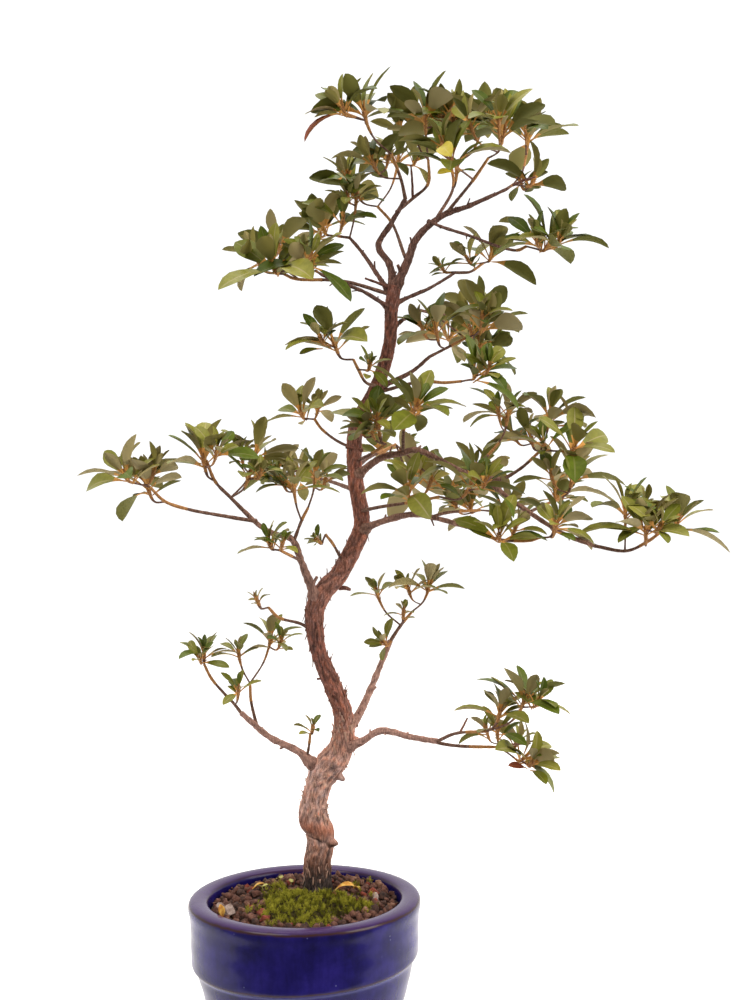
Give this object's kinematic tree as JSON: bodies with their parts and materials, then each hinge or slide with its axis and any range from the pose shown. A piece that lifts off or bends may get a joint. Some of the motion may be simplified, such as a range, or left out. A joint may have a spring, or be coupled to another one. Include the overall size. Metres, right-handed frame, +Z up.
{
  "type": "azalea bonsai",
  "caption": "Azalea bonsai with a slender leaning trunk, thin side boughs and open whorls of leaves, in a round cobalt-glazed pot with soil and a moss mound.",
  "frame": {"origin": "centre of the pot's flat underside", "axes": "+Z up along the height of the tree, -Y towards the tree's front, +X to the right as seen from the front"},
  "size_m": [0.3856, 0.2255, 0.6372],
  "materials": {
    "bark": "matte",
    "foliage": "matte",
    "glaze": "gloss",
    "grit": "matte",
    "moss": "matte"
  },
  "bodies": {
    "root": {"bough_back_upper": "bark", "bough_centre_right": "bark", "bough_leader_left": "bark", "bough_leader_right": "bark", "bough_left_shelf": "bark", "bough_lower_left": "bark", "bough_lower_right": "bark", "bough_mid_right": "bark", "bough_right_lower": "bark", "bough_right_outer": "bark", "bough_right_shelf": "bark", "bough_upper_left": "bark", "bough_upper_left_low": "bark", "bough_upper_right": "bark", "bough_upper_right_low": "bark", "foliage_apex_centre": "foliage", "foliage_apex_front": "foliage", "foliage_apex_left": "foliage", "foliage_apex_middle": "foliage", "foliage_apex_rear": "foliage", "foliage_apex_right": "foliage", "foliage_back_left": "foliage", "foliage_back_shelf": "foliage", "foliage_back_upper": "foliage", "foliage_centre_front": "foliage", "foliage_centre_low": "foliage", "foliage_centre_right": "foliage", "foliage_fork_sprig": "foliage", "foliage_left_inner": "foliage", "foliage_left_middle": "foliage", "foliage_left_outer": "foliage", "foliage_left_sprig": "foliage", "foliage_lower_left_inner": "foliage", "foliage_lower_left_outer": "foliage", "foliage_lower_right_lower": "foliage", "foliage_lower_right_upper": "foliage", "foliage_mid_left": "foliage", "foliage_mid_left_low": "foliage", "foliage_mid_right_lower": "foliage", "foliage_mid_right_upper": "foliage", "foliage_right_far": "foliage", "foliage_right_inner": "foliage", "foliage_right_low": "foliage", "foliage_right_mid": "foliage", "foliage_right_outer": "foliage", "foliage_right_rear": "foliage", "foliage_right_upper": "foliage", "foliage_trunk_left": "foliage", "foliage_trunk_sprig": "foliage", "foliage_upper_left": "foliage", "foliage_upper_left_low": "foliage", "foliage_upper_left_outer": "foliage", "foliage_upper_right": "foliage", "foliage_upper_right_low": "foliage", "moss": "moss", "pot": "glaze", "soil": "grit", "trunk": "bark"}
  },
  "joints": []
}
